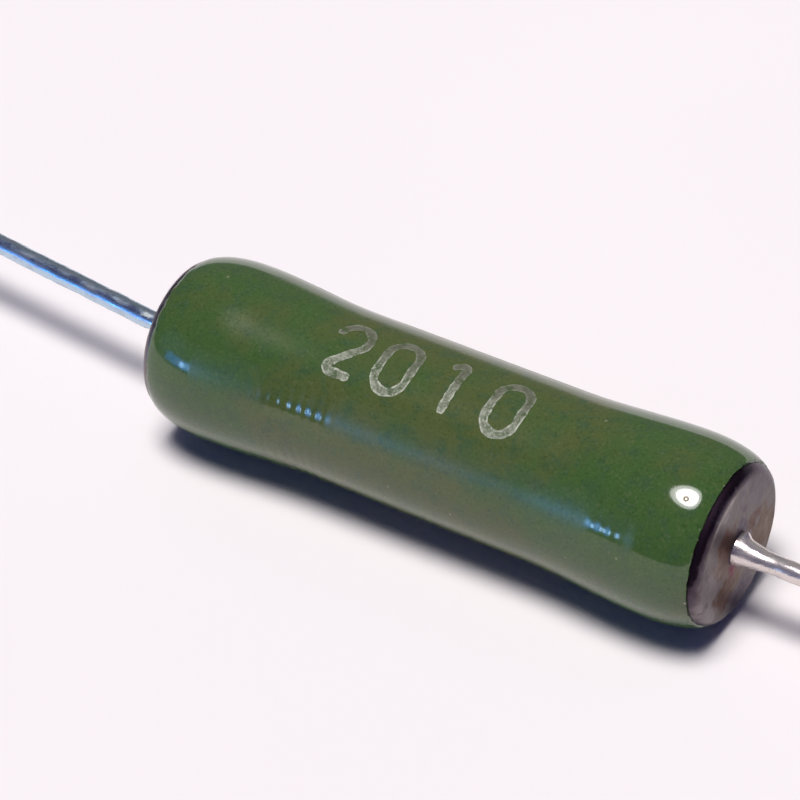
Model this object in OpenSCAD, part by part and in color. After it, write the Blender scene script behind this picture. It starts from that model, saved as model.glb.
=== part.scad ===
// Wirewound power resistor with axial leads and a fired enamel coat.
// The winding axis lies along X and Z points up. The origin is the middle of the body.

/* [Body] */
// Length of the body from one cap face to the other
body_len = 36; // [28:0.5:60]
// Diameter of the ceramic rod that carries the winding
core_d = 8.3; // [6:0.1:12]
// Chamfer on the two ends of the ceramic rod
core_chamfer = 0.4; // [0.2:0.05:0.8]

/* [End caps] */
// Thickness of the pressed metal of the caps
cap_wall = 0.45; // [0.3:0.05:0.7]
// Length of a cap from its face to the open end of its skirt
cap_len = 4.6; // [3.5:0.1:6]
// Outer radius of the rounded shoulder between face and skirt
cap_round = 0.55; // [0.3:0.05:0.9]
// Bevel inside the open end of the skirt, which lets it slide over the rod
cap_mouth = 0.15; // [0.05:0.05:0.25]

/* [Resistance wire] */
// Diameter of the resistance wire
wire_d = 0.3; // [0.15:0.05:0.45]
// Distance from one turn to the next
wire_pitch = 0.66; // [0.6:0.02:1.5]
// Turns over which the wire climbs from the rod to the height of the cap
climb_turns = 1; // [0.5:0.25:2]
// Turns that lie on each cap skirt, where the wire is welded
cap_turns = 1.5; // [1:0.25:2]

/* [Enamel coat] */
// Thickness of the coat over the winding, along the waist
coat_wall = 0.4; // [0.25:0.05:1]
// Thickness of the coat over the wire on the caps, where the coat is fullest
bulge_wall = 0.33; // [0.25:0.01:1]
// Thickness of the coat at its edge on the cap
edge_wall = 0.13; // [0.05:0.01:0.3]
// Bare strip of skirt between the edge of the coat and the cap's shoulder
bare_strip = 0.02; // [0:0.02:0.4]
// Length over which the waist swells into the bulge
swell_len = 7.6; // [4:0.1:9]
// Length from the fullest ring of the bulge to the edge of the coat
roll_len = 3.05; // [2:0.05:4]
// Angle that the rolled end of the coat covers on its quarter ellipse
roll_angle = 68; // [45:1:85]

/* [Leads] */
// Diameter of the tinned lead wire
lead_d = 1.15; // [0.8:0.05:1.6]
// Reach of each lead from its cap face to its tip
lead_len = 38; // [20:0.5:60]
// Diameter of the weld where a lead stands on its cap
weld_d = 1.9; // [1.7:0.05:3]
// Length over which the weld runs out into the wire
weld_len = 1.6; // [0.8:0.1:2.5]
// Height of the bead of weld metal that rings the foot of a lead
bead_h = 0.35; // [0.2:0.05:0.8]
// How far the wire of the right lead was welded below the middle of its cap
lead_drop = 0.25; // [0:0.05:0.35]
// Angle of the slight bend in the left lead
lead_bend = 6; // [1:0.5:12]
// Radius of that bend at the middle of the wire
bend_r = 4; // [2:0.5:10]
// Straight wire between the weld and the bend
bend_start = 0.9; // [0.2:0.1:4]
// Bevel on the cut tip of a lead
tip_bevel = 0.12; // [0.05:0.01:0.25]

/* [Hidden] */

$fn = 96;
arc_steps = 10;            // straight pieces in a small rounded corner
coat_steps = 22;           // straight pieces in each curve of the coat
wire_steps = 18;           // straight pieces in one turn of the wire
wire_sides = 6;            // sides of the wire's cross-section
fit_gap = 0.01;            // gap between pieces that are pressed, wound or fired together
pocket_run = 0.3;          // length of each slope inside the coat

half_len = body_len / 2;
core_r = core_d / 2;
cap_bore_r = core_r + fit_gap;
cap_r = cap_bore_r + cap_wall;
cap_inner_round = max(cap_round - cap_wall, fit_gap);
skirt_x = half_len - cap_len;

// A turn is a chain of chords, so its corners stand out enough for the chords to clear the seat.
function turn_r(seat_r) = (seat_r + fit_gap) / cos(180 / wire_steps) + wire_d / 2;
core_turn_r = turn_r(core_r);
cap_turn_r = turn_r(cap_r);
climb_end = skirt_x - wire_d;
climb_start = climb_end - climb_turns * wire_pitch;
wire_end = skirt_x + wire_d + cap_turns * wire_pitch;

core_pocket_r = core_turn_r + wire_d / 2 + fit_gap;
cap_pocket_r = cap_turn_r + wire_d / 2 + fit_gap;
skirt_pocket_r = cap_r + fit_gap;
waist_r = core_pocket_r + coat_wall;
bulge_r = cap_pocket_r + bulge_wall;
edge_r = skirt_pocket_r + edge_wall;
edge_x = half_len - cap_round - bare_strip;
bulge_x = edge_x - roll_len;

lead_r = lead_d / 2;
weld_rise = (weld_d - lead_d) / 2;
weld_arc_r = (weld_len * weld_len + weld_rise * weld_rise) / (2 * weld_rise);
weld_arc_angle = asin(weld_len / weld_arc_r);

function smooth(t) = t * t * (3 - 2 * t);
function blend(from, to, t) = from + (to - from) * smooth(min(max(t, 0), 1));
function arc(centre, r, from, to, steps) = [
    for (i = [0:steps])
        let (a = from + (to - from) * i / steps)
            centre + r * [cos(a), sin(a)]
];

// Turns what was drawn along Z so that it lies along X.
module along_x() {
    rotate([0, 90, 0])
        children();
}

// Ceramic rod with chamfered ends, which butt against the insides of the caps.
module ceramic_core() {
    core_end = half_len - cap_wall - fit_gap;
    color("#e9e4d8")
        along_x()
            rotate_extrude()
                polygon([
                    [0, -core_end],
                    [core_r - core_chamfer, -core_end],
                    [core_r, core_chamfer - core_end],
                    [core_r, core_end - core_chamfer],
                    [core_r - core_chamfer, core_end],
                    [0, core_end]
                ]);
}

// One piece of wire: close turns on the rod, a climb at each end, and the last turns on the caps.
function wire_r_at(x) = blend(core_turn_r, cap_turn_r, (abs(x) - climb_start) / (climb_end - climb_start));
function wire_ring(x) =
    let (turn = 360 * x / wire_pitch, r = wire_r_at(x))
        [
            for (side = [0:wire_sides - 1])
                let (a = 360 * side / wire_sides, ring_r = r + wire_d / 2 * cos(a))
                    [x + wire_d / 2 * sin(a), ring_r * cos(turn), ring_r * sin(turn)]
        ];

module resistance_winding() {
    rings = ceil(2 * wire_end / wire_pitch * wire_steps);
    points = [
        for (i = [0:rings])
            each wire_ring(wire_end * (2 * i / rings - 1))
    ];
    walls = [
        for (i = [0:rings - 1], side = [0:wire_sides - 1])
            let (
                next = (side + 1) % wire_sides,
                a = i * wire_sides + side,
                b = i * wire_sides + next,
                c = a + wire_sides,
                d = b + wire_sides
            )
                each [[a, c, d], [a, d, b]]
    ];
    first_end = [for (side = [0:wire_sides - 1]) side];
    last_end = [for (side = [wire_sides - 1:-1:0]) rings * wire_sides + side];
    color("#8d8a86")
        polyhedron(points = points, faces = concat([first_end], walls, [last_end]), convexity = 10);
}

// Pressed metal cup, pushed over the end of the rod.
module end_cap() {
    color("#736b6c")
        along_x()
            rotate_extrude()
                polygon(concat(
                    [[0, half_len - cap_wall], [0, half_len]],
                    arc([cap_r - cap_round, half_len - cap_round], cap_round, 90, 0, arc_steps),
                    [[cap_r, skirt_x], [cap_bore_r + cap_mouth, skirt_x], [cap_bore_r, skirt_x + cap_mouth]],
                    arc(
                        [cap_bore_r - cap_inner_round, half_len - cap_wall - cap_inner_round],
                        cap_inner_round, 0, 90, arc_steps
                    )
                ));
}

module end_cap_right() {
    end_cap();
}

module end_cap_left() {
    mirror([1, 0, 0])
        end_cap();
}

// Foot of a lead: the wire's end, spread by the weld and running out into the wire in a hollow curve.
module weld_foot() {
    rotate_extrude()
        polygon(concat(
            [[0, 0]],
            arc([lead_r + weld_arc_r, weld_len], weld_arc_r, 180 + weld_arc_angle, 180, arc_steps),
            [[0, weld_len]]
        ));
}

// Ring of weld metal on the cap, centred on the cap and not on the wire.
module weld_bead() {
    rotate_extrude()
        polygon(concat(
            [[0, 0]],
            [for (a = [0:90 / arc_steps:90]) [weld_d / 2 * cos(a), bead_h * sin(a)]]
        ));
}

// Straight wire from the origin to its cut tip.
module wire_to_tip(length) {
    cylinder(r = lead_r, h = length - tip_bevel);
    translate([0, 0, length - tip_bevel])
        cylinder(r1 = lead_r, r2 = lead_r - tip_bevel, h = tip_bevel);
}

module lead_right() {
    color("#d6d3d1")
        translate([half_len, 0, 0])
            along_x()
                union() {
                    weld_bead();
                    translate([lead_drop, 0, 0]) {
                        weld_foot();
                        translate([0, 0, weld_len])
                            wire_to_tip(lead_len - weld_len);
                    }
                }
}

// Quarter-turned ring segment that carries the wire from +Z towards +Y.
module wire_bend() {
    translate([0, bend_r, 0])
        rotate([90, 0, -90])
            rotate_extrude(angle = lead_bend)
                translate([bend_r, 0])
                    circle(r = lead_r);
}

module lead_left() {
    bend_h = weld_len + bend_start;
    turned_h = bend_r * sin(lead_bend);
    turned_y = bend_r * (1 - cos(lead_bend));
    tip_lift = (lead_r - tip_bevel) * sin(lead_bend);
    straight_len = (lead_len - bend_h - turned_h - tip_lift) / cos(lead_bend);
    color("#d6d3d1")
        mirror([1, 0, 0])
            translate([half_len, 0, 0])
                along_x()
                    union() {
                        weld_bead();
                        weld_foot();
                        translate([0, 0, weld_len])
                            cylinder(r = lead_r, h = bend_start);
                        translate([0, 0, bend_h])
                            wire_bend();
                        translate([0, turned_y, bend_h + turned_h])
                            rotate([-lead_bend, 0, 0])
                                wire_to_tip(straight_len);
                    }
}

// Outside of one half of the coat: a straight waist, a swell over the cap and a rolled end.
swell = [
    for (i = [0:coat_steps])
        let (t = i / coat_steps)
            [blend(waist_r, bulge_r, t), bulge_x - swell_len * (1 - t)]
];
roll = [
    for (i = [1:coat_steps])
        let (
            a = roll_angle * i / coat_steps,
            drop = (bulge_r - edge_r) * (1 - cos(a)) / (1 - cos(roll_angle))
        )
            [bulge_r - drop, bulge_x + roll_len * sin(a) / sin(roll_angle)]
];

// Inside of one half of the coat: close to the turns, to the wire on the cap and to the bare skirt.
pocket_from = climb_start - wire_d;
pocket_to = wire_end + wire_d;
pockets = [
    [skirt_pocket_r, edge_x],
    [skirt_pocket_r, pocket_to + pocket_run],
    [cap_pocket_r, pocket_to],
    [cap_pocket_r, pocket_from],
    [core_pocket_r, pocket_from - pocket_run]
];

module half_coat() {
    along_x()
        rotate_extrude()
            polygon(concat([[waist_r, 0]], swell, roll, pockets, [[core_pocket_r, 0]]));
}

// Glassy enamel, fired over the winding and the cap skirts. The cap faces stay bare.
module enamel_coat() {
    color("#425c32")
        union() {
            half_coat();
            mirror([1, 0, 0])
                half_coat();
        }
}

ceramic_core();
resistance_winding();
end_cap_left();
end_cap_right();
lead_left();
lead_right();
enamel_coat();
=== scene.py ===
import math

import bpy
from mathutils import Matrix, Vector


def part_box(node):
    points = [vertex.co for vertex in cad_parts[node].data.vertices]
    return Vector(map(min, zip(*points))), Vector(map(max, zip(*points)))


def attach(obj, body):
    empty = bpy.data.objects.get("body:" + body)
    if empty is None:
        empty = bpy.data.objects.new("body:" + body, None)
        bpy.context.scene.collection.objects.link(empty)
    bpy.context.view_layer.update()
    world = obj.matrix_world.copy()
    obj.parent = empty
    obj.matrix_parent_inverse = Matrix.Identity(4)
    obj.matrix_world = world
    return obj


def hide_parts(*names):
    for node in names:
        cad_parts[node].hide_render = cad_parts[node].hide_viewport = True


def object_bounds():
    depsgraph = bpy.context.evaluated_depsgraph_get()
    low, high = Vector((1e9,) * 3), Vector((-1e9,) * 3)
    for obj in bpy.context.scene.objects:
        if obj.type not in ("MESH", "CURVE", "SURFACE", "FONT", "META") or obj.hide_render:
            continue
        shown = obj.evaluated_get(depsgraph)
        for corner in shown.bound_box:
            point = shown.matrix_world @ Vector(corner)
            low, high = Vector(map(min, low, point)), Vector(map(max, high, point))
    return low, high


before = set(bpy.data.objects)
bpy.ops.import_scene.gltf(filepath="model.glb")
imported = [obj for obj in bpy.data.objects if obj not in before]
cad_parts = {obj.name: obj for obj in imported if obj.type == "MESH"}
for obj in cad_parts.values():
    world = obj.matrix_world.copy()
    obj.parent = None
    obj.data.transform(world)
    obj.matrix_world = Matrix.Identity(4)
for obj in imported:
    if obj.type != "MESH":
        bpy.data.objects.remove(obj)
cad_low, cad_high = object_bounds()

# ---------------------------------------------------------------------------
# Camera
# It looks down on the right end from close by, held a little crooked, so that
# the bare cap with its weld shows and both leads run out of the view.
# ---------------------------------------------------------------------------
MM = 0.001

camera_place = Vector((79.4, -113.5, 130.3)) * MM
camera_turns = [math.radians(angle) for angle in (47.306, 3.784, 32.591)]

camera_data = bpy.data.cameras.new("camera")
camera_data.sensor_width = 36
camera_data.lens = 154.44
camera_data.clip_start = 10 * MM
camera_data.clip_end = 60
camera = bpy.data.objects.new("camera", camera_data)
camera.location = camera_place
camera.rotation_euler = camera_turns
bpy.context.collection.objects.link(camera)
bpy.context.scene.camera = camera

# ---------------------------------------------------------------------------
# Ceramic core
# A pressed and fired rod of white electrical ceramic. It lies inside the
# winding and the coat, held by the two caps.
# ---------------------------------------------------------------------------
ceramic_white = (0.74, 0.69, 0.60)
ceramic_cream = (0.62, 0.55, 0.44)
ceramic_speck = 0.25 * MM


def new_finish(name, roughness, metallic=0.0, ior=1.5):
    """A named material; what is the same all over the surface is set on its shader."""
    finish = bpy.data.materials.new(name)
    finish.use_nodes = True
    shader = finish.node_tree.nodes["Principled BSDF"]
    shader.inputs["Roughness"].default_value = roughness
    shader.inputs["Metallic"].default_value = metallic
    shader.inputs["IOR"].default_value = ior
    return finish


def feed(finish, value, socket):
    """Links an output into a socket, or writes a plain number or colour on it."""
    if isinstance(value, bpy.types.NodeSocket):
        finish.node_tree.links.new(value, socket)
    elif isinstance(value, tuple) and len(value) == 3 and len(socket.default_value) == 4:
        socket.default_value = (*value, 1)
    else:
        socket.default_value = value


def shader_input(finish, name):
    return finish.node_tree.nodes["Principled BSDF"].inputs[name]


def on_piece(finish, stretch=(1, 1, 1), shift=(0, 0, 0)):
    """The piece's own coordinates in metres, moved by shift and then divided by stretch."""
    nodes = finish.node_tree.nodes
    place = nodes.new("ShaderNodeMapping")
    place.inputs["Location"].default_value = [-s / t for s, t in zip(shift, stretch)]
    place.inputs["Scale"].default_value = [1 / t for t in stretch]
    feed(finish, nodes.new("ShaderNodeTexCoord").outputs["Object"], place.inputs["Vector"])
    return place.outputs["Vector"]


def clouded(finish, size, detail=2.0, stretch=(1, 1, 1), shift=(0, 0, 0), rough=0.5):
    """Soft noise from 0 to 1 whose blotches are about as large as size."""
    cloud = finish.node_tree.nodes.new("ShaderNodeTexNoise")
    feed(finish, on_piece(finish, stretch, shift), cloud.inputs["Vector"])
    cloud.inputs["Scale"].default_value = 1 / size
    cloud.inputs["Detail"].default_value = detail
    cloud.inputs["Roughness"].default_value = rough
    return cloud.outputs["Fac"]


def rising(finish, value, start, end, low=0.0, high=1.0):
    """Goes smoothly from low to high as the value goes from start to end."""
    step = finish.node_tree.nodes.new("ShaderNodeMapRange")
    step.interpolation_type = "SMOOTHSTEP"
    feed(finish, value, step.inputs["Value"])
    for name, number in zip(("From Min", "From Max", "To Min", "To Max"), (start, end, low, high)):
        step.inputs[name].default_value = number
    return step.outputs["Result"]


def sum_of(finish, operation, first, second=0.5):
    """What the Math operation makes of the first value and the second."""
    node = finish.node_tree.nodes.new("ShaderNodeMath")
    node.operation = operation
    feed(finish, first, node.inputs[0])
    feed(finish, second, node.inputs[1])
    return node.outputs["Value"]


def painted(finish, amount, under, over):
    """The colour under, covered by the colour over as far as the amount says."""
    mix = finish.node_tree.nodes.new("ShaderNodeMix")
    mix.data_type = "RGBA"
    feed(finish, amount, mix.inputs["Factor"])
    feed(finish, under, mix.inputs["A"])
    feed(finish, over, mix.inputs["B"])
    return mix.outputs["Result"]


def embossed(finish, height, depth):
    """Raises the surface by up to depth where the height is 1."""
    bump = finish.node_tree.nodes.new("ShaderNodeBump")
    bump.inputs["Distance"].default_value = depth
    feed(finish, height, bump.inputs["Height"])
    return bump.outputs["Normal"]


core_finish = new_finish("fired_ceramic", roughness=0.62)
core_grain = clouded(core_finish, ceramic_speck, detail=3)
core_tone = rising(core_finish, clouded(core_finish, 10 * ceramic_speck), 0.35, 0.7)
feed(core_finish, painted(core_finish, core_tone, ceramic_white, ceramic_cream),
     shader_input(core_finish, "Base Color"))
feed(core_finish, embossed(core_finish, core_grain, 0.02 * MM), shader_input(core_finish, "Normal"))
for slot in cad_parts["ceramic_core"].material_slots:
    slot.material = core_finish

# ---------------------------------------------------------------------------
# Resistance winding
# One length of drawn nickel-chrome wire, wound on the rod and spot-welded to
# both cap skirts. Firing the coat leaves a thin brown-grey scale on it.
# ---------------------------------------------------------------------------
alloy_bright = (0.42, 0.40, 0.38)
alloy_scaled = (0.20, 0.17, 0.15)

alloy_finish = new_finish("scaled_alloy_wire", roughness=0.36, metallic=1.0)
alloy_scale = rising(alloy_finish, clouded(alloy_finish, 1.4 * MM, detail=4), 0.4, 0.65)
feed(alloy_finish, painted(alloy_finish, alloy_scale, alloy_bright, alloy_scaled),
     shader_input(alloy_finish, "Base Color"))
feed(alloy_finish, embossed(alloy_finish, clouded(alloy_finish, 0.08 * MM), 0.004 * MM),
     shader_input(alloy_finish, "Normal"))
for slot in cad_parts["resistance_winding"].material_slots:
    slot.material = alloy_finish

# ---------------------------------------------------------------------------
# End caps
# Two cups pressed from nickel-iron strip and pushed over the rod's ends, their
# skirts under the coat. The kiln has turned the bare faces dull grey, with
# brown heat stains round the weld and a black scale on the shoulder.
# ---------------------------------------------------------------------------
skirt_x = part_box("end_cap_right")[0].x
cap_face_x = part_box("end_cap_right")[1].x
cap_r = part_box("end_cap_right")[1].z
cap_wall = 0.45 * MM
cap_shoulder = 0.55 * MM
cap_face_step = 0.12 * MM          # distance between the rings of the face
cap_steps = 144
cap_dent = 0.05 * MM
cap_dent_size = 1.7 * MM

cap_grey = (0.095, 0.076, 0.075)
cap_pale_and_sheen = (0.190, 0.162, 0.168)
cap_lilac = (0.088, 0.066, 0.088)
cap_olive = (0.110, 0.062, 0.038)
cap_copper = (0.088, 0.038, 0.022)
cap_plum = (0.048, 0.031, 0.054)
cap_red = (0.110, 0.002, 0.024)
cap_black = (0.016, 0.009, 0.016)
# A pale grey for light painted on the caps.
cap_painted_light = (0.30, 0.27, 0.26)
any_x = 1e3                        # a stretch so long that a place along X doesn't count

# Stains on the face, the first one lowest: Y, Z and reach, then strength and colour. The three pale
# ones are painted sheen where the face's edge catches light, two at the front and one at the top.
cap_stains_and_sheen = (
    (-3.1, -0.4, 1.3, 0.9, cap_pale_and_sheen), (-3.2, -2.2, 1.3, 0.8, cap_pale_and_sheen),
    (2.2, 3.2, 1.9, 0.7, cap_lilac), (-1.4, 3.7, 0.9, 0.9, cap_pale_and_sheen),
    (3.1, -1.2, 1.9, 0.9, cap_olive), (-1.2, 0.2, 1.9, 0.8, cap_olive),
    (-0.8, -1.9, 1.7, 0.9, cap_olive), (-1.3, 1.3, 1.4, 1.0, cap_copper),
    (-1.5, -2.2, 1.4, 1.0, cap_copper), (-0.1, -3.7, 1.6, 0.9, cap_plum),
    (1.6, 0.7, 0.8, 0.9, cap_copper), (0.3, 1.0, 0.8, 0.9, cap_plum),
    (-0.8, 0.1, 0.6, 0.8, cap_plum), (-0.65, -0.95, 0.6, 1.0, cap_red),
)


def turned(name, outline, steps):
    """A piece spun about the X axis from an outline of (x, radius) points."""
    bpy.ops.object.select_all(action="DESELECT")
    bpy.ops.mesh.primitive_plane_add(size=MM, location=(outline[0][0], 0, outline[0][1]))
    piece = bpy.context.object
    piece.name = name
    bpy.ops.object.mode_set(mode="EDIT")
    bpy.ops.mesh.merge(type="CENTER")
    for (x, r), (next_x, next_r) in zip(outline, outline[1:]):
        bpy.ops.mesh.extrude_vertices_move(
            TRANSFORM_OT_translate={"value": (next_x - x, 0, next_r - r)})
    bpy.ops.mesh.select_all(action="SELECT")
    bpy.ops.mesh.spin(steps=steps, angle=math.tau, center=(0, 0, 0), axis=(1, 0, 0))
    bpy.ops.mesh.select_all(action="SELECT")
    bpy.ops.mesh.remove_doubles(threshold=0.002 * MM)
    bpy.ops.mesh.normals_make_consistent(inside=False)
    bpy.ops.object.mode_set(mode="OBJECT")
    bpy.ops.object.transform_apply(location=True)
    return piece


def quarter_round(x, r, radius, start, end, steps=10):
    """Points of an arc about (x, r); an angle of 0 points outwards and 90 along +X."""
    turns = [math.radians(start + (end - start) * i / steps) for i in range(steps + 1)]
    return [(x + radius * math.sin(a), r + radius * math.cos(a)) for a in turns]


def hold(piece, group_name, share):
    """A vertex group that holds each vertex as strongly as share(place) says."""
    group = piece.vertex_groups.new(name=group_name)
    for vertex in piece.data.vertices:
        strength = share(vertex.co)
        if strength > 0:
            group.add([vertex.index], strength, "REPLACE")


def rippled(piece, name, size, depth, direction="NORMAL", group="", depths=2):
    """Pushes the surface up and down by up to half the depth, in soft lumps of the given size."""
    lumps = bpy.data.textures.new(name, "CLOUDS")
    lumps.noise_scale = size
    lumps.noise_depth = depths
    push = piece.modifiers.new(name, "DISPLACE")
    push.texture = lumps
    push.texture_coords = "LOCAL"
    push.strength = depth
    push.mid_level = 0.5
    push.direction = direction
    push.vertex_group = group
    bpy.context.view_layer.objects.active = piece
    bpy.ops.object.modifier_apply(modifier=name)


def smooth(t):
    t = min(max(t, 0), 1)
    return t * t * (3 - 2 * t)


def end_cap_mesh(name):
    shoulder_r = cap_r - cap_shoulder
    bore_r = cap_r - cap_wall
    rings = round(shoulder_r / cap_face_step)
    outline = [(cap_face_x - cap_wall, 0)]
    outline += [(cap_face_x, shoulder_r * i / rings) for i in range(rings)]
    outline += quarter_round(cap_face_x - cap_shoulder, shoulder_r, cap_shoulder, 90, 0, 16)
    outline += [(skirt_x, cap_r), (skirt_x, bore_r), (cap_face_x - cap_wall, bore_r)]
    outline += [(cap_face_x - cap_wall, 0)]
    cap = turned(name, outline, cap_steps)
    hold(cap, "face", lambda at: smooth((at.x - cap_face_x + cap_shoulder) / cap_shoulder))
    rippled(cap, "face_dents", cap_dent_size, cap_dent, group="face")
    rippled(cap, "face_grain", 0.35 * MM, 0.2 * cap_dent, group="face")
    bpy.ops.object.shade_smooth_by_angle(angle=math.radians(40))
    return cap


cap_finish = new_finish("kiln_stained_cap", roughness=0.42, metallic=1.0)
cap_axis = cap_finish.node_tree.nodes.new("ShaderNodeSeparateXYZ")
feed(cap_finish, on_piece(cap_finish), cap_axis.inputs["Vector"])
cap_x, cap_y, cap_z = [cap_axis.outputs[letter] for letter in "XYZ"]
cap_blotch = clouded(cap_finish, 1.1 * MM, detail=4, shift=(0, 0.6 * MM, 0), rough=0.65)
cap_fine = clouded(cap_finish, 0.3 * MM, detail=3, rough=0.6)
cap_streak = clouded(cap_finish, 0.8 * MM, detail=3, stretch=(1, 0.8, 1.4), shift=(0, 2 * MM, 0))


def distance_from(finish, place, stretch=(1, 1, 1)):
    """How far a point of the piece lies from a place, in lengths of stretch."""
    away = finish.node_tree.nodes.new("ShaderNodeVectorMath")
    away.operation = "LENGTH"
    feed(finish, on_piece(finish, stretch, place), away.inputs[0])
    return away.outputs["Value"]


def ragged(finish, distance, noise, swing):
    """The distance, made longer and shorter by up to half the swing."""
    return sum_of(finish, "ADD", distance, rising(finish, noise, 0.25, 0.75, swing / 2, -swing / 2))


cap_paler = rising(cap_finish, cap_streak, 0.42, 0.70, 0, 0.8)
cap_colour = painted(cap_finish, cap_paler, cap_grey, cap_pale_and_sheen)
# The pale entries paint sheen on the face; the others are stains.
for y, z, reach, strength, colour in cap_stains_and_sheen:
    across = (any_x, reach * MM, reach * MM)
    stain_and_sheen_from = distance_from(cap_finish, (0, y * MM, z * MM), across)
    stain_and_sheen = rising(cap_finish, ragged(cap_finish, stain_and_sheen_from, cap_blotch, 0.9), 1.0, 0.6, 0, strength)
    cap_colour = painted(cap_finish, stain_and_sheen, cap_colour, colour)
cap_ring_r = distance_from(cap_finish, (0, 0, 0), (any_x, MM, MM))
weld_halo = rising(cap_finish, ragged(cap_finish, cap_ring_r, cap_fine, 0.3), 1.2, 0.95, 0, 0.85)
cap_colour = painted(cap_finish, weld_halo, cap_colour, cap_plum)
# A short painted highlight shows pale where the face turns into the shoulder.
rim_highlight = sum_of(cap_finish, "MULTIPLY", rising(cap_finish, cap_ring_r, 3.75, 3.98),
                 rising(cap_finish, cap_ring_r, 4.2, 4.02))
rim_highlight_end = distance_from(cap_finish, (0, -1.7 * MM, 3.7 * MM), (any_x, 1.9 * MM, 1.9 * MM))
rim_highlight = sum_of(cap_finish, "MULTIPLY", rim_highlight, rising(cap_finish, rim_highlight_end, 1.0, 0.5, 0, 0.8))
cap_colour = painted(cap_finish, rim_highlight, cap_colour, cap_painted_light)

# The black scale runs round the right shoulder, and thins out at the back and the bottom.
scale_reach = ragged(cap_finish, cap_ring_r, cap_blotch, 0.22)
scale_thins = (
    (cap_z, 2.0 * MM, -1.0 * MM, 0.35), (cap_y, 0.5 * MM, 2.5 * MM, 0.4),
    (cap_x, 1 * MM, -1 * MM, 1.5),
)
for value, start, end, loss in scale_thins:
    scale_loss = rising(cap_finish, value, start, end, 0, loss)
    scale_reach = sum_of(cap_finish, "SUBTRACT", scale_reach, scale_loss)
scale_bloom = rising(cap_finish, scale_reach, cap_r / MM - 0.62, cap_r / MM - 0.22, 0, 0.7)
cap_colour = painted(cap_finish, scale_bloom, cap_colour, cap_plum)
cap_scale = rising(cap_finish, scale_reach, cap_r / MM - 0.25, cap_r / MM - 0.10)
cap_colour = painted(cap_finish, cap_scale, cap_colour, cap_black)
# Painted light: the left cap is painted paler than the right, as the sheen of that end.
left_painted_paler = rising(cap_finish, cap_x, -1 * MM, -2 * MM, 0, 0.5)
cap_colour = painted(cap_finish, left_painted_paler, cap_colour, cap_painted_light)
feed(cap_finish, cap_colour, shader_input(cap_finish, "Base Color"))
face_rough = rising(cap_finish, cap_streak, 0.35, 0.7, 0.34, 0.50)
scale_rough = sum_of(cap_finish, "MULTIPLY", cap_scale, 0.62)
feed(cap_finish, sum_of(cap_finish, "MAXIMUM", face_rough, scale_rough),
     shader_input(cap_finish, "Roughness"))
feed(cap_finish, embossed(cap_finish, cap_fine, 0.02 * MM), shader_input(cap_finish, "Normal"))

for side in ("right", "left"):
    cap = end_cap_mesh("cap_" + side)
    if side == "left":
        bpy.ops.transform.mirror(constraint_axis=(True, False, False), orient_type="GLOBAL")
        bpy.ops.object.transform_apply(location=True, rotation=True, scale=True)
        bpy.ops.object.mode_set(mode="EDIT")
        bpy.ops.mesh.select_all(action="SELECT")
        bpy.ops.mesh.normals_make_consistent(inside=False)
        bpy.ops.object.mode_set(mode="OBJECT")
    cap.data.materials.append(cap_finish)
    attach(cap, "root")
    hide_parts("end_cap_" + side)

# ---------------------------------------------------------------------------
# Leads
# Hot-tinned copper wire, percussion-welded to the cap faces. The weld spreads
# the foot of the wire into a small uneven cone, and the tin lies in soft
# lumps. The right wire sits below the middle of its cap, the left one is bent.
# ---------------------------------------------------------------------------
lead_tip_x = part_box("lead_right")[1].x
lead_r = 0.575 * MM
lead_drop = 0.25 * MM              # of the right wire, below the middle of its cap
lead_bend = math.radians(6)        # of the left wire, towards the back
lead_bend_x = 20.71 * MM           # middle of that bend
lead_bend_run = 0.42 * MM          # length of wire in it
tip_bevel = 0.12 * MM
weld_r = 0.92 * MM
weld_len = 1.75 * MM
weld_fin = 0.22 * MM               # height of a small fin of metal, squeezed out over the weld
fin_out = 0.22 * MM                # of its middle, from the cap
fin_run = 0.20 * MM
fin_turn = math.radians(130)       # from the front, up round the wire
fin_spread = math.radians(24)
lead_sides = 48
lead_ring_step = 0.25 * MM

tin_painted_warm = (0.77, 0.70, 0.66)
tin_painted_blue = (0.50, 0.64, 0.74)
tin_dull = (0.40, 0.39, 0.42)
tin_burnt = (0.16, 0.08, 0.09)
tin_painted_glint = (0.66, 0.70, 0.66)


def weld_cone_r(along):
    """Radius of a lead at a distance from the cap: a hollow cone that runs out into the wire."""
    neck = max(1 - along / weld_len, 0)
    return lead_r + (weld_r - lead_r) * neck * (0.7 + 0.3 * neck)


def lead_outline():
    """Along the wire, from inside the weld to the middle of the cut tip."""
    foot = [weld_len * (i / 26) ** 1.3 for i in range(27)]
    wire_len = lead_tip_x - cap_face_x - weld_len - tip_bevel
    rings = round(wire_len / lead_ring_step)
    wire = [weld_len + wire_len * i / rings for i in range(1, rings + 1)]
    outline = [(cap_face_x, 0)]
    outline += [(cap_face_x + along, weld_cone_r(along)) for along in foot + wire]
    outline += [(lead_tip_x, lead_r - tip_bevel), (lead_tip_x, 0)]
    return outline


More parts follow.
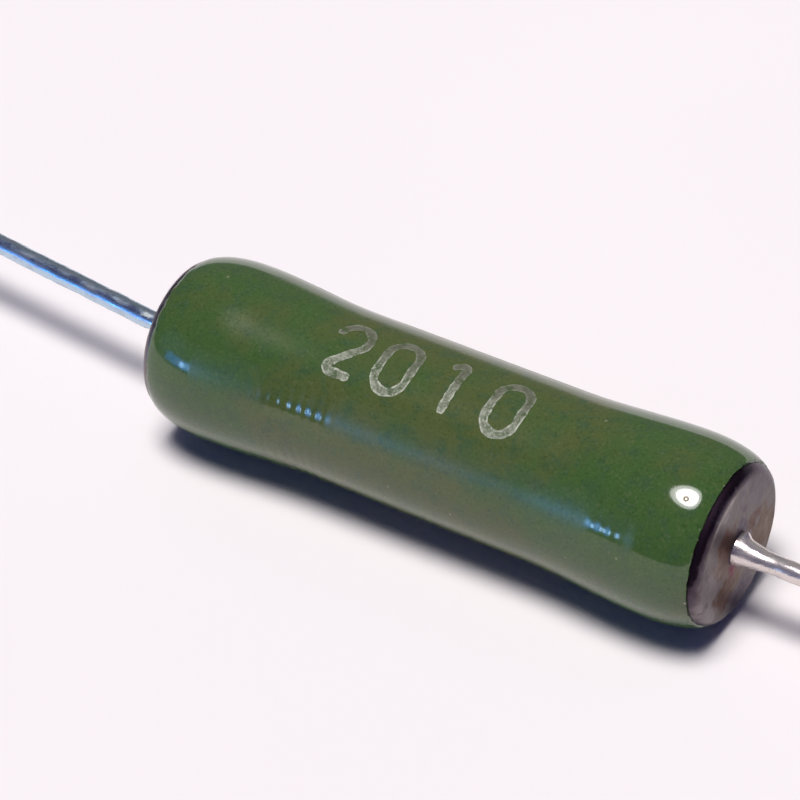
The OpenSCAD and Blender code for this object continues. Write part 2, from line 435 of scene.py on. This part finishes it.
def lead_mesh(name):
    lead = turned(name, lead_outline(), lead_sides)
    hold(lead, "weld", lambda at: smooth((cap_face_x + weld_len - at.x) / weld_len))
    hold(lead, "wire", lambda at: smooth((at.x - cap_face_x) / weld_len) if at.x < lead_tip_x else 0)
    for vertex in lead.data.vertices:
        out = Vector((0, vertex.co.y, vertex.co.z))
        if out.length > lead_r:
            along = (vertex.co.x - cap_face_x - fin_out) / fin_run
            aside = (math.atan2(out.z, -out.y) - fin_turn) / fin_spread
            vertex.co += out.normalized() * weld_fin * math.exp(-along ** 2 - aside ** 2)
    rippled(lead, "weld_lumps", 0.9 * MM, 0.02 * MM, group="weld", depths=1)
    rippled(lead, "tin_lumps", 1.1 * MM, 0.075 * MM, group="wire", depths=1)
    rippled(lead, "tin_drag", 0.35 * MM, 0.02 * MM, group="wire")
    bpy.ops.object.shade_smooth_by_angle(angle=math.radians(50))
    return lead


def move_share(lead, share, way):
    """Slides each vertex of a lead along way as far as share(its distance from the middle) says."""
    for vertex in lead.data.vertices:
        vertex.co += Vector(way) * share(abs(vertex.co.x))


tin_finish = new_finish("hot_tinned_copper", roughness=0.25, metallic=1.0)
tin_axis = tin_finish.node_tree.nodes.new("ShaderNodeSeparateXYZ")
feed(tin_finish, on_piece(tin_finish), tin_axis.inputs["Vector"])
tin_out = sum_of(tin_finish, "ABSOLUTE", tin_axis.outputs["X"])
tin_patch = clouded(tin_finish, 0.5 * MM, detail=4, stretch=(2.2, 1, 1), rough=0.6)
tin_fine = clouded(tin_finish, 0.12 * MM, detail=2, stretch=(2, 1, 1))
# The wires are coloured apart by side with painted reflections: bluish on the left, warm on the right.
tin_side = rising(tin_finish, tin_axis.outputs["X"], -1 * MM, 1 * MM)
tin_colour = painted(tin_finish, tin_side, tin_painted_blue, tin_painted_warm)
tin_dulling = sum_of(tin_finish, "MULTIPLY", rising(tin_finish, tin_patch, 0.5, 0.75, 0, 0.8),
                     rising(tin_finish, tin_out, cap_face_x + 0.5 * MM, cap_face_x + 2 * MM, 0.1, 1))
tin_colour = painted(tin_finish, tin_dulling, tin_colour, tin_dull)
# A painted glint: a pale, less metallic spot on the left wire near its cap, where a highlight falls.
glint_place = (-20.6 * MM, -0.25 * MM, 0.50 * MM)
glint_from = distance_from(tin_finish, glint_place, (0.5 * MM, 0.2 * MM, 0.2 * MM))
painted_glint = rising(tin_finish, ragged(tin_finish, glint_from, tin_fine, 0.6), 1.0, 0.4, 0, 0.7)
tin_colour = painted(tin_finish, painted_glint, tin_colour, tin_painted_glint)
burn_reach = sum_of(tin_finish, "ADD", tin_out,
                    rising(tin_finish, tin_patch, 0.3, 0.7, 0.25 * MM, -0.25 * MM))
burn = rising(tin_finish, burn_reach, cap_face_x + 0.12 * MM, cap_face_x - 0.06 * MM, 0, 0.5)
tin_colour = painted(tin_finish, burn, tin_colour, tin_burnt)
feed(tin_finish, tin_colour, shader_input(tin_finish, "Base Color"))
tin_rough = rising(tin_finish, tin_patch, 0.35, 0.7, 0.18, 0.34)
left_rougher = rising(tin_finish, tin_side, 0, 1, 0.03, 0)
feed(tin_finish, sum_of(tin_finish, "ADD", tin_rough, left_rougher),
     shader_input(tin_finish, "Roughness"))
# Flux has left the tin of the right wire frosty; the left wire is brighter. Their colours are painted
# reflections: warm on the right, of the pink card, and bluish on the left, of the blue room.
tin_frost_and_glint = sum_of(tin_finish, "MAXIMUM", rising(tin_finish, tin_side, 0, 1, 0.06, 0.22), painted_glint)
feed(tin_finish, sum_of(tin_finish, "SUBTRACT", 1.0, tin_frost_and_glint), shader_input(tin_finish, "Metallic"))
feed(tin_finish, embossed(tin_finish, tin_fine, 0.006 * MM), shader_input(tin_finish, "Normal"))

right_lead = lead_mesh("lead_wire_right")
move_share(right_lead, lambda out: lead_drop * (0.6 + 0.4 * smooth((out - cap_face_x) / weld_len)),
           (0, 0, -1))

left_lead = lead_mesh("lead_wire_left")
bpy.ops.transform.mirror(constraint_axis=(True, False, False), orient_type="GLOBAL")
bpy.ops.object.transform_apply(location=True, rotation=True, scale=True)
bpy.ops.object.mode_set(mode="EDIT")
bpy.ops.mesh.select_all(action="SELECT")
bpy.ops.mesh.normals_make_consistent(inside=False)
bpy.ops.object.mode_set(mode="OBJECT")
for vertex in left_lead.data.vertices:
    past = abs(vertex.co.x) - lead_bend_x + lead_bend_run / 2
    if past > 0:
        bent = lead_bend * min(past / lead_bend_run, 1)
        centre_x = -lead_bend_x
        off_y = vertex.co.y
        reach = abs(vertex.co.x) - lead_bend_x
        vertex.co.x = centre_x - reach * math.cos(bent) + off_y * math.sin(bent)
        vertex.co.y = reach * math.sin(bent) + off_y * math.cos(bent)

for side, lead in (("right", right_lead), ("left", left_lead)):
    lead.data.materials.append(tin_finish)
    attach(lead, "root")
    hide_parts("lead_" + side)

# ---------------------------------------------------------------------------
# Enamel coat
# Glass enamel, dipped over the winding and the cap skirts and fired until it
# flows. It draws in along the waist, gathers over the wire on the caps and
# ends in a slightly chipped edge short of the faces.
# ---------------------------------------------------------------------------
coat_edge_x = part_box("enamel_coat")[1].x
bulge_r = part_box("enamel_coat")[1].z
waist_r = 4.934 * MM
edge_r = 4.74 * MM
roll_len = 3.05 * MM
roll_angle = math.radians(68)
swell_len = 7.6 * MM
bulge_x = coat_edge_x - roll_len
coat_bore_r = 4.62 * MM            # inside, on the bare skirt
cap_pocket_r = 5.0 * MM            # inside, over the wire on the caps
cap_pocket_x = (12.2 * MM, 15.0 * MM)
core_pocket_r = 4.534 * MM         # inside, over the turns on the rod
pocket_step = 0.3 * MM             # length of the slope at each end of a pocket
coat_steps = 160
coat_stations = 300
coat_bright = 0.08                 # roughness of fresh glass
coat_satin = 0.32                  # and where it is worn
print_pitch = 0.66 * MM            # of the turns where they show through
print_depth = 0.0085 * MM
wave_run = 0.314                   # length of one wave of the Wave texture at a scale of 1

enamel_olive = (0.084, 0.108, 0.030)
enamel_green = (0.053, 0.110, 0.027)
enamel_blue = (0.044, 0.092, 0.038)
enamel_dark = (0.034, 0.058, 0.016)
enamel_light = (0.105, 0.135, 0.060)
enamel_highlight_dot = (0.22, 0.14, 0.06)
enamel_chip = (0.42, 0.40, 0.31)
enamel_pale_patch = (0.16, 0.20, 0.11)

seed_apart = 2.4 * MM
pale_patch_place = (-12.6 * MM, -2.0 * MM, 4.9 * MM)
pale_patch_size = (1.7 * MM, 1.3 * MM, 1.3 * MM)
highlight_dot_place = (16.13 * MM, -2.25 * MM, 4.67 * MM)
highlight_dot_r = 0.15 * MM

# Stretches of thin glass: first and last place along the coat, and how softly they end.
thin_left = (-8.4 * MM, -6.4 * MM, 2.6 * MM)
thin_right = (12.0 * MM, 13.0 * MM, 1.5 * MM)


def coat_r(x):
    """Radius of the outside of the coat at a distance from the middle."""
    if x < bulge_x:
        return waist_r + (bulge_r - waist_r) * smooth(1 - (bulge_x - x) / swell_len)
    along = math.sin(roll_angle) * (x - bulge_x) / roll_len
    drop = (1 - math.sqrt(1 - along ** 2)) / (1 - math.cos(roll_angle))
    return bulge_r - (bulge_r - edge_r) * drop


turns = [math.pi * (i / coat_stations - 0.5) for i in range(coat_stations + 1)]
outside = [coat_edge_x * (0.45 * math.sin(a) + 0.55 * 2 * a / math.pi) for a in turns]
pockets = [(coat_edge_x, coat_bore_r),
           (cap_pocket_x[1] + pocket_step, coat_bore_r), (cap_pocket_x[1], cap_pocket_r),
           (cap_pocket_x[0], cap_pocket_r), (cap_pocket_x[0] - pocket_step, core_pocket_r)]
coat_outline = [(x, coat_r(abs(x))) for x in outside]
coat_outline += pockets
coat_outline += [(-x, r) for x, r in reversed(pockets)]
coat_outline += [coat_outline[0]]
coat = turned("coat_of_enamel", coat_outline, coat_steps)


def outer_skin(at):
    """1 on the outside of the coat and 0 in its bore."""
    return smooth((math.hypot(at.y, at.z) - coat_r(min(abs(at.x), coat_edge_x))) / (0.08 * MM) + 1)


hold(coat, "skin", outer_skin)
hold(coat, "edge", lambda at: smooth((abs(at.x) - coat_edge_x) / (0.5 * MM) + 1))
rippled(coat, "slow_flow", 9 * MM, 0.03 * MM, group="skin", depths=0)
rippled(coat, "flow", 2.6 * MM, 0.004 * MM, group="skin", depths=0)
rippled(coat, "ragged_edge", 0.45 * MM, 0.14 * MM, direction="X", group="edge")
bpy.ops.object.shade_smooth_by_angle(angle=math.radians(50))

coat_finish = new_finish("fired_green_enamel", roughness=0.07, ior=1.56)
coat_axis = coat_finish.node_tree.nodes.new("ShaderNodeSeparateXYZ")
feed(coat_finish, on_piece(coat_finish), coat_axis.inputs["Vector"])
coat_x = coat_axis.outputs["X"]
coat_out = sum_of(coat_finish, "ABSOLUTE", coat_x)
coat_drift = clouded(coat_finish, 4.5 * MM, detail=3, shift=(3 * MM, 0, 0), rough=0.6)
coat_patch = clouded(coat_finish, 0.9 * MM, detail=4, rough=0.65)
coat_grain = clouded(coat_finish, 0.17 * MM, detail=2, rough=0.6)
coat_drift = sum_of(coat_finish, "ADD", coat_drift,
                    rising(coat_finish, coat_out, 5 * MM, 14 * MM, -0.08, 0.13))
coat_colour = painted(coat_finish, rising(coat_finish, coat_drift, 0.36, 0.64),
                      enamel_olive, enamel_green)
coat_colour = painted(coat_finish, rising(coat_finish, coat_patch, 0.45, 0.72, 0, 0.8),
                      coat_colour, enamel_blue)
coat_colour = painted(coat_finish, rising(coat_finish, coat_grain, 0.47, 0.22, 0, 0.8),
                      coat_colour, enamel_dark)
coat_colour = painted(coat_finish, rising(coat_finish, coat_grain, 0.53, 0.78, 0, 0.8),
                      coat_colour, enamel_light)

# Pale seeds in the glass, and a faint pale patch on the left bulge.
seeds = coat_finish.node_tree.nodes.new("ShaderNodeTexVoronoi")
seeds.inputs["Scale"].default_value = 1 / seed_apart
feed(coat_finish, on_piece(coat_finish), seeds.inputs["Vector"])
seed_spots = rising(coat_finish, seeds.outputs["Distance"], 0.04, 0.025, 0, 0.35)
coat_colour = painted(coat_finish, seed_spots, coat_colour, enamel_chip)
pale_patch_from = distance_from(coat_finish, pale_patch_place, pale_patch_size)
pale_patch = sum_of(coat_finish, "MULTIPLY", rising(coat_finish, pale_patch_from, 1.0, 0.0, 0, 0.5),
                rising(coat_finish, coat_grain, 0.25, 0.7, 0.3, 1.0))
coat_colour = painted(coat_finish, pale_patch, coat_colour, enamel_pale_patch)

# A small brown ring, painted in the middle of the lamp's highlight above the right bulge as the dark
# centre of the lamp's reflection.
highlight_dot_from = distance_from(coat_finish, highlight_dot_place, (highlight_dot_r, highlight_dot_r, highlight_dot_r))
highlight_dot_ring = sum_of(coat_finish, "MULTIPLY", rising(coat_finish, highlight_dot_from, 1.15, 0.9),
                 rising(coat_finish, highlight_dot_from, 0.3, 0.5))
coat_colour = painted(coat_finish, highlight_dot_ring, coat_colour, enamel_highlight_dot)

chip_noise = clouded(coat_finish, 0.4 * MM, detail=1)
chip_edge = rising(coat_finish, coat_out, coat_edge_x - 0.14 * MM, coat_edge_x - 0.02 * MM)
chips = sum_of(coat_finish, "MULTIPLY", chip_edge, rising(coat_finish, chip_noise, 0.70, 0.76))
coat_colour = painted(coat_finish, chips, coat_colour, enamel_chip)
feed(coat_finish, coat_colour, shader_input(coat_finish, "Base Color"))


def along_coat(start, end, soft):
    """1 between two places along the coat, fading to 0 over the length soft beyond them."""
    return sum_of(coat_finish, "MULTIPLY", rising(coat_finish, coat_x, start - soft, start),
                  rising(coat_finish, coat_x, end + soft, end))


# The glass has worn satin along its sides, but for the ends and two stretches
# where it lies thin over the turns of the wire, which print through it there.
# Its top and its left end have worn a little less.
thin_glass = sum_of(coat_finish, "MAXIMUM", along_coat(*thin_left), along_coat(*thin_right))
coat_z = coat_axis.outputs["Z"]
worn_side = sum_of(coat_finish, "MULTIPLY", rising(coat_finish, coat_z, -0.8 * MM, 0.8 * MM),
                   rising(coat_finish, coat_z, 4.3 * MM, 3.3 * MM))
worn_side = sum_of(coat_finish, "MULTIPLY", worn_side,
                   rising(coat_finish, coat_out, 14.6 * MM, 13.9 * MM))
satin = sum_of(coat_finish, "MULTIPLY", worn_side, rising(coat_finish, thin_glass, 0, 1, 1, 0.16))
worn_top = sum_of(coat_finish, "MULTIPLY", rising(coat_finish, coat_z, 3.5 * MM, 4.4 * MM, 0, 0.48),
                  rising(coat_finish, coat_x, 12 * MM, 8 * MM))
worn_top = sum_of(coat_finish, "MULTIPLY", worn_top, rising(coat_finish, coat_x, -15 * MM, -12 * MM))
satin = sum_of(coat_finish, "MAXIMUM", satin, worn_top)
worn_end = rising(coat_finish, coat_x, -13.6 * MM, -15.0 * MM, 0, 0.25)
satin = sum_of(coat_finish, "MAXIMUM", satin, worn_end)
coat_gloss = rising(coat_finish, satin, 0, 1, coat_bright, coat_satin)
# The chips and the painted highlight dot are rougher.
chips_and_highlight_dot = sum_of(coat_finish, "MULTIPLY", sum_of(coat_finish, "MAXIMUM", chips, highlight_dot_ring), 0.5)
feed(coat_finish, sum_of(coat_finish, "ADD", coat_gloss, chips_and_highlight_dot),
     shader_input(coat_finish, "Roughness"))

turn_print = coat_finish.node_tree.nodes.new("ShaderNodeTexWave")
turn_print.inputs["Scale"].default_value = wave_run / print_pitch
turn_print.inputs["Distortion"].default_value = 1.5
turn_print.inputs["Detail Scale"].default_value = 1.0
feed(coat_finish, on_piece(coat_finish), turn_print.inputs["Vector"])
print_reach = sum_of(coat_finish, "MAXIMUM", thin_glass, along_coat(9.5 * MM, 13 * MM, 1 * MM))
turn_height = sum_of(coat_finish, "MULTIPLY", turn_print.outputs["Fac"],
                     rising(coat_finish, print_reach, 0, 1, 0.15, 1))
# The turns show on the front only, and less towards the right end.
turn_height = sum_of(coat_finish, "MULTIPLY", turn_height,
                     rising(coat_finish, coat_axis.outputs["Y"], -2.5 * MM, -3.5 * MM))
turn_height = sum_of(coat_finish, "MULTIPLY", turn_height,
                     rising(coat_finish, coat_x, 4 * MM, 9 * MM, 1, 0.4))
feed(coat_finish, embossed(coat_finish, turn_height, print_depth), shader_input(coat_finish, "Normal"))
coat.data.materials.append(coat_finish)
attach(coat, "root")
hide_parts("enamel_coat")

# ---------------------------------------------------------------------------
# Stamped number
# Four plain digits, rubber-stamped on the enamel in pale ink and fired in.
# Ink gathers along the rim of each stroke and is worn thin towards the top.
# ---------------------------------------------------------------------------
stamp_turn = math.radians(79)      # from the front, up round the coat
stamp_high = 3.3 * MM              # along the middle of the strokes
stamp_wide = 1.9 * MM
stroke_wide = 0.52 * MM
stroke_step = 0.11 * MM
corner_r = 0.27 * MM
ink_thick = 0.012 * MM
digit_row = (("two", -5.77 * MM), ("nought", -2.6 * MM), ("one", 0.72 * MM), ("nought", 4.42 * MM))

ink_rim = (0.50, 0.52, 0.41)
ink_middle = (0.140, 0.165, 0.100)
ink_worn = (0.105, 0.105, 0.072)
ink_gone = (0.062, 0.100, 0.032)

bowl_r = stamp_wide / 2
bowl_half = math.pi * bowl_r
straight = stamp_high - stamp_wide
neck_len = 0.7 * MM
foot_corner = corner_r * math.radians(135)
flag_corner = corner_r * math.radians(128)

# Each digit: where the pen starts in its cell, its heading, and its moves as
# a length and the turn made along it, in degrees.
digit_strokes = {
    "one": ((-0.5 * MM, 1.28 * MM), 38,
            ((0.5 * MM, 0), (flag_corner, -128), (3.03 * MM, 0))),
    "nought": ((-bowl_r, -straight / 2), 90,
               ((straight, 0), (bowl_half, -180), (straight, 0), (bowl_half, -180))),
    "two": ((-bowl_r, straight / 2), 90,
            ((bowl_half, -180), (neck_len, -45), (1.78 * MM, 0), (foot_corner, 135),
             (1.33 * MM, 0))),
}


def way_of(heading):
    return Vector((math.cos(math.radians(heading)), math.sin(math.radians(heading)), 0))


def end_width(run, whole):
    """Width of the stroke near its rounded ends, as a share of its full width."""
    left = min(run, whole - run) / (stroke_wide / 2)
    return math.sqrt(1 - min(0.85, max(1 - left, 0)) ** 2)


def stroke_share(run, whole, closed):
    """Width of the stroke at a point of its run, as a share; the pad pressed unevenly."""
    share = 1 if closed else end_width(run, whole)
    turn = 2 * math.pi * run / whole
    return share * (1 + 0.09 * math.sin(7 * turn + 1) + 0.04 * math.sin(16 * turn))


def pen_stroke(start, heading, moves):
    """A flat ribbon of ink, drawn from its start by the moves; a stroke that closes has no ends."""
    place = Vector((*start, 0))
    whole = sum(length for length, turn in moves)
    closed = sum(turn for length, turn in moves) == -360
    bpy.ops.object.select_all(action="DESELECT")
    bpy.ops.mesh.primitive_grid_add(x_subdivisions=4, y_subdivisions=1, size=stroke_wide,
                                    location=place)
    ink = bpy.context.object
    rim = ink.data.attributes.new("rim", "FLOAT", "POINT")
    for vertex in ink.data.vertices:
        rim.data[vertex.index].value = abs(vertex.co.x) / (stroke_wide / 2)
    bpy.ops.object.mode_set(mode="EDIT")
    bpy.ops.transform.resize(value=(1, 0, 1), center_override=place)
    bpy.ops.mesh.remove_doubles(threshold=0.001 * MM)
    bpy.ops.transform.rotate(value=-math.radians(heading - 90), orient_axis="Z",
                             center_override=place)
    width = stroke_share(0, whole, closed)
    bpy.ops.transform.resize(value=(width, width, 1), center_override=place)
    run = 0
    for length, turn in moves:
        steps = max(round(length / stroke_step), math.ceil(abs(turn) / 12))
        for _ in range(steps):
            middle_way = way_of(heading + turn / steps / 2) * length / steps
            bpy.ops.mesh.extrude_edges_move(TRANSFORM_OT_translate={"value": middle_way})
            place += middle_way
            heading += turn / steps
            run += length / steps
            if turn:
                bpy.ops.transform.rotate(value=-math.radians(turn / steps), orient_axis="Z",
                                         center_override=place)
            grow = stroke_share(run, whole, closed) / width
            bpy.ops.transform.resize(value=(grow, grow, 1), center_override=place)
            width *= grow
    bpy.ops.mesh.select_all(action="SELECT")
    bpy.ops.mesh.remove_doubles(threshold=0.02 * MM)
    bpy.ops.mesh.normals_make_consistent(inside=False)
    bpy.ops.object.mode_set(mode="OBJECT")
    if not closed:
        ends = (Vector((*start, 0)) - ink.location, place - ink.location)
        rim = ink.data.attributes["rim"]
        for vertex in ink.data.vertices:
            near = min((vertex.co - end).length for end in ends)
            at_end = smooth(1 - near / (stroke_wide / 2))
            rim.data[vertex.index].value = max(rim.data[vertex.index].value, at_end)
    bpy.ops.object.transform_apply(location=True)
    return ink


def stamped(ink, along):
    """Lays a flat digit on the coat at its place along the body, as thin as ink."""
    ink.rotation_euler.x = math.pi / 2 - stamp_turn
    ink.location = (along, -1.5 * bulge_r * math.cos(stamp_turn), 1.5 * bulge_r * math.sin(stamp_turn))
    press = ink.modifiers.new("press", "SHRINKWRAP")
    press.target = coat
    press.wrap_method = "PROJECT"
    press.use_project_z = True
    press.use_positive_direction = False
    press.use_negative_direction = True
    press.offset = ink_thick
    bpy.ops.object.modifier_apply(modifier="press")
    body = ink.modifiers.new("body", "SOLIDIFY")
    body.thickness = ink_thick
    body.offset = -1
    bpy.ops.object.modifier_apply(modifier="body")
    bpy.ops.object.transform_apply(location=True, rotation=True)


digits = []
for digit, along in digit_row:
    ink = pen_stroke(*digit_strokes[digit])
    stamped(ink, along)
    digits.append(ink)
bpy.ops.object.select_all(action="DESELECT")
for ink in digits:
    ink.select_set(True)
bpy.context.view_layer.objects.active = digits[0]
bpy.ops.object.join()
stamp = bpy.context.object
stamp.name = "stamped_number"
bpy.ops.object.shade_smooth_by_angle(angle=math.radians(50))

ink_finish = new_finish("fired_pale_ink", roughness=0.34)
rim_share = ink_finish.node_tree.nodes.new("ShaderNodeAttribute")
rim_share.attribute_name = "rim"
ink_axis = ink_finish.node_tree.nodes.new("ShaderNodeSeparateXYZ")
feed(ink_finish, on_piece(ink_finish), ink_axis.inputs["Vector"])
ink_grit = clouded(ink_finish, 0.12 * MM, detail=2, rough=0.7)
ink_wear = clouded(ink_finish, 0.34 * MM, detail=3, rough=0.6)
ink_smear = clouded(ink_finish, 0.5 * MM, detail=3, shift=(MM, 0, 0), rough=0.7)
rim_line = rising(ink_finish, rim_share.outputs["Fac"], 0.42, 0.85)
rim_line = sum_of(ink_finish, "MULTIPLY", rim_line, rising(ink_finish, ink_wear, 0.38, 0.58, 0.1, 1.0))
ink_body = sum_of(ink_finish, "MAXIMUM", rising(ink_finish, ink_grit, 0.48, 0.68, 0.0, 0.55),
                  rising(ink_finish, ink_smear, 0.52, 0.62, 0.0, 0.45))
ink_load = sum_of(ink_finish, "MAXIMUM", rim_line, ink_body)
ink_fade = rising(ink_finish, ink_axis.outputs["Y"], -1.9 * MM, 0.2 * MM, 1.0, 0.3)
ink_load = sum_of(ink_finish, "MULTIPLY", ink_load, ink_fade)
ink_colour = painted(ink_finish, ink_load, painted(ink_finish, ink_fade, ink_worn, ink_middle), ink_rim)
ink_lost = rising(ink_finish, ink_smear, 0.46, 0.36, 0, 0.9)
feed(ink_finish, painted(ink_finish, ink_lost, ink_colour, ink_gone),
     shader_input(ink_finish, "Base Color"))
feed(ink_finish, embossed(ink_finish, ink_grit, 0.01 * MM), shader_input(ink_finish, "Normal"))
stamp.data.materials.clear()
stamp.data.materials.append(ink_finish)
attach(stamp, "root")

# ---------------------------------------------------------------------------
# Table
# A wide sheet of pale, faintly pink card, on which the coat rests with its
# two bulges.
# ---------------------------------------------------------------------------
table_pale = (0.917, 0.868, 0.861)
table_r = 20

bpy.ops.object.select_all(action="DESELECT")
bpy.ops.mesh.primitive_circle_add(vertices=96, radius=table_r, fill_type="NGON",
                                  location=(0, 0, cad_low.z))
table = bpy.context.object
table.name = "table"
bpy.ops.object.transform_apply(location=True)
table_finish = new_finish("pale_card", roughness=0.9)
table_tone = rising(table_finish, clouded(table_finish, 40 * MM, detail=1), 0.3, 0.7)
feed(table_finish, painted(table_finish, table_tone, table_pale, tuple(0.985 * c for c in table_pale)),
     shader_input(table_finish, "Base Color"))
shader_input(table_finish, "Specular IOR Level").default_value = 0.0
table.data.materials.append(table_finish)

# ---------------------------------------------------------------------------
# Lamps and room
# A round lamp in a wide, dimmer shade hangs overhead. Low in front, two blue
# windows, each with a brighter pane, shine into a deep blue evening room.
# ---------------------------------------------------------------------------
lamp_way = Vector((0.012, -0.142, 0.989)).normalized()
for name, strength, width in (("lamp", 1.85, 19.5), ("lamp_shade", 1.40, 27.0)):
    lamp_data = bpy.data.lights.new(name, "SUN")
    lamp_data.energy = strength
    lamp_data.angle = math.radians(width)
    lamp_data.color = (1.0, 0.985, 0.97)
    lamp = bpy.data.objects.new(name, lamp_data)
    lamp.rotation_euler = lamp_way.to_track_quat("Z", "Y").to_euler()
    bpy.context.collection.objects.link(lamp)

window_far = 24
window_blue = (0.02, 0.28, 1.0)
pane_blue = (0.31, 0.59, 1.0)

# Each window: first and last bearing, lowest and highest angle, light and colour.
windows = (
    (-118.6, -116.7, 5.8, 10.0, 20, pane_blue), (-121.5, -118.6, 3.0, 12.5, 4, window_blue),
    (-124.8, -121.5, 5.0, 10.5, 16, pane_blue), (-136.0, -121.5, 3.0, 12.5, 3, window_blue),
)
for number, (first, last, low, high, light, colour) in enumerate(windows, 1):
    foot, head = [window_far * math.tan(math.radians(angle)) for angle in (low, high)]
    window_data = bpy.data.lights.new(f"window_{number}", "AREA")
    window_data.shape = "RECTANGLE"
    window_data.size = 2 * window_far * math.tan(math.radians(last - first) / 2)
    window_data.size_y = head - foot
    window_data.energy = light * math.pi * window_data.size * window_data.size_y
    window_data.color = colour
    window = bpy.data.objects.new(f"window_{number}", window_data)
    middle = math.radians((first + last) / 2)
    window.location = (window_far * math.cos(middle), window_far * math.sin(middle), (foot + head) / 2)
    window.rotation_euler = window.location.to_track_quat("Z", "Y").to_euler()
    window.visible_camera = False
    window.visible_diffuse = False
    bpy.context.collection.objects.link(window)

room = bpy.data.worlds.new("room")
room.use_nodes = True
room_dark = (0.003, 0.001, 0.085)
room_glow = (0.12, 0.22, 0.48)
room_wall = (0.16, 0.155, 0.165)
room_way = room.node_tree.nodes.new("ShaderNodeTexCoord").outputs["Generated"]


def facing(way, start, end):
    """Rises from 0 to 1 as the look comes round from start to end degrees away from way."""
    dot = room.node_tree.nodes.new("ShaderNodeVectorMath")
    dot.operation = "DOT_PRODUCT"
    feed(room, room_way, dot.inputs[0])
    dot.inputs[1].default_value = Vector(way).normalized()
    return rising(room, dot.outputs["Value"], math.cos(math.radians(start)),
                  math.cos(math.radians(end)))


room_colour = painted(room, facing((-0.68, -0.68, 0.27), 22, 5), room_dark, room_glow)
room_colour = painted(room, facing((-0.30, 0.85, 0.45), 50, 20), room_colour, room_wall)
feed(room, room_colour, room.node_tree.nodes["Background"].inputs["Color"])
bpy.context.scene.world = room

bpy.context.scene.view_settings.view_transform = "Standard"
